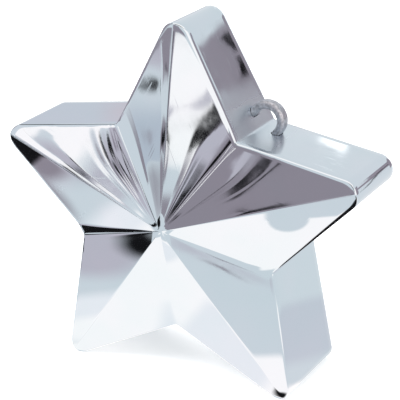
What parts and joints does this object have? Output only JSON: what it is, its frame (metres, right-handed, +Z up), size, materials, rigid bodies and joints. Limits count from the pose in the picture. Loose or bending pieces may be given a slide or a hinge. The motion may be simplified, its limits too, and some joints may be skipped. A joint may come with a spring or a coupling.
{
  "type": "balloon weight",
  "caption": "Free-standing faceted star weight in mirror-plated plastic, filled with sand, with a small loop for tying a balloon ribbon.",
  "frame": {"origin": "middle of the object's box on the surface that it stands on", "axes": "+X to the viewer's right along the width, +Y from the faceted front to the back, +Z up to the top point"},
  "size_m": [0.0978, 0.0358, 0.0942],
  "materials": {
    "plated_shell": "polished",
    "plated_loop": "polished",
    "cover_plastic": "satin",
    "plug_plastic": "satin",
    "glue": "gloss",
    "sand": "matte"
  },
  "bodies": {
    "root": {"front_shell": "plated_shell", "ribbon_loop": "plated_loop", "back_cover": "cover_plastic", "fill_plug": "plug_plastic", "cover_seal": "glue", "sand_fill": "sand"}
  },
  "joints": []
}
